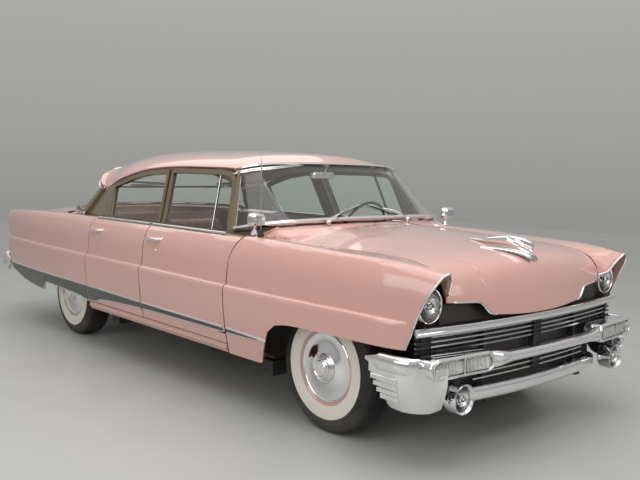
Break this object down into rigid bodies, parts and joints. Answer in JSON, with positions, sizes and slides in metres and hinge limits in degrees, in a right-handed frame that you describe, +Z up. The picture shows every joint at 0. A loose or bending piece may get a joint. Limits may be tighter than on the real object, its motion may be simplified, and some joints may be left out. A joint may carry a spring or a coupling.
{
  "type": "four-door car",
  "caption": "Full-size 1950s car with hooded headlamps, long ledged sides and wrapped glass; its doors, hood and boot lid open, its wheels roll and the front ones steer.",
  "frame": {"origin": "on the ground below the middle of the overall length and width", "axes": "+X to the front of the car, +Y to its left, +Z up"},
  "size_m": [5.66, 2.0282, 1.5586],
  "materials": {
    "paint": "gloss",
    "bronze": "satin",
    "chassis": "matt",
    "glass": "clear",
    "chrome": "polished",
    "red_lens": "gloss",
    "leather": "satin",
    "cabin": "satin",
    "tyre": "matt"
  },
  "bodies": {
    "body": {"cowl": "paint", "roof": "paint", "rear_body": "paint", "lamp_buckets": "paint", "fender_right": "paint", "fender_left": "paint", "quarter_right": "paint", "quarter_left": "paint", "pillars": "bronze", "windshield_frame": "bronze", "rear_window_frame": "bronze", "frame": "chassis", "floor": "chassis", "engine": "chassis", "exhaust": "chassis", "front_suspension": "chassis", "rear_axle": "chassis", "windshield": "glass", "rear_window": "glass", "bumper_lamps": "glass", "grille": "chrome", "front_bumper": "chrome", "rear_bumper": "chrome", "headlamps": "chrome", "mirrors": "chrome", "wipers": "chrome", "antenna": "chrome", "tail_lamps": "red_lens", "front_seat": "leather", "rear_seat": "leather", "dashboard": "cabin", "steering_wheel": "cabin"},
    "hood": {"hood": "paint", "hood_ornament": "chrome"},
    "deck_lid": {"deck_lid": "paint"},
    "knuckle_right": {"knuckle_right": "chassis"},
    "knuckle_left": {"knuckle_left": "chassis"},
    "door_front_right": {"door_front_right": "paint", "glass_front_right": "glass"},
    "wheel_front_right": {"tyre_front_right": "tyre", "wheel_front_right": "chrome"},
    "door_rear_right": {"door_rear_right": "paint", "glass_rear_right": "glass"},
    "wheel_rear_right": {"tyre_rear_right": "tyre", "wheel_rear_right": "chrome"},
    "door_front_left": {"door_front_left": "paint", "glass_front_left": "glass"},
    "wheel_front_left": {"tyre_front_left": "tyre", "wheel_front_left": "chrome"},
    "door_rear_left": {"door_rear_left": "paint", "glass_rear_left": "glass"},
    "wheel_rear_left": {"tyre_rear_left": "tyre", "wheel_rear_left": "chrome"}
  },
  "joints": [
    {"name": "steer_right", "type": "hinge", "parent": "body", "child": "knuckle_right", "pos_m": [1.935, -0.643, 0.36], "axis": [0, 0, 1], "range_deg": [-30, 30]},
    {"name": "steer_left", "type": "hinge", "parent": "body", "child": "knuckle_left", "pos_m": [1.935, 0.643, 0.36], "axis": [0, 0, 1], "range_deg": [-30, 30]},
    {"name": "wheel_front_right_spin", "type": "hinge", "parent": "knuckle_right", "child": "wheel_front_right", "pos_m": [1.935, -0.743, 0.36], "axis": [0, 1, 0], "continuous": true},
    {"name": "wheel_rear_right_spin", "type": "hinge", "parent": "body", "child": "wheel_rear_right", "pos_m": [-1.265, -0.762, 0.36], "axis": [0, 1, 0], "continuous": true},
    {"name": "door_front_right_hinge", "type": "hinge", "parent": "body", "child": "door_front_right", "pos_m": [1.16, -0.976, 0.584], "axis": [0, 0, 1], "range_deg": [0, 65]},
    {"name": "door_rear_right_hinge", "type": "hinge", "parent": "body", "child": "door_rear_right", "pos_m": [0.145, -0.976, 0.584], "axis": [0, 0, 1], "range_deg": [0, 65]},
    {"name": "wheel_front_left_spin", "type": "hinge", "parent": "knuckle_left", "child": "wheel_front_left", "pos_m": [1.935, 0.743, 0.36], "axis": [0, 1, 0], "continuous": true},
    {"name": "wheel_rear_left_spin", "type": "hinge", "parent": "body", "child": "wheel_rear_left", "pos_m": [-1.265, 0.762, 0.36], "axis": [0, 1, 0], "continuous": true},
    {"name": "door_front_left_hinge", "type": "hinge", "parent": "body", "child": "door_front_left", "pos_m": [1.16, 0.976, 0.584], "axis": [0, 0, -1], "range_deg": [0, 65]},
    {"name": "door_rear_left_hinge", "type": "hinge", "parent": "body", "child": "door_rear_left", "pos_m": [0.145, 0.976, 0.584], "axis": [0, 0, -1], "range_deg": [0, 65]},
    {"name": "hood_hinge", "type": "hinge", "parent": "body", "child": "hood", "pos_m": [1.523, 0, 1.048], "axis": [0, -1, 0], "range_deg": [0, 50]},
    {"name": "deck_lid_hinge", "type": "hinge", "parent": "body", "child": "deck_lid", "pos_m": [-1.693, 0, 1.006], "axis": [0, 1, 0], "range_deg": [0, 50]}
  ],
  "couplings": [
    {"joint": "steer_left", "follows": "steer_right", "ratio": 1}
  ]
}
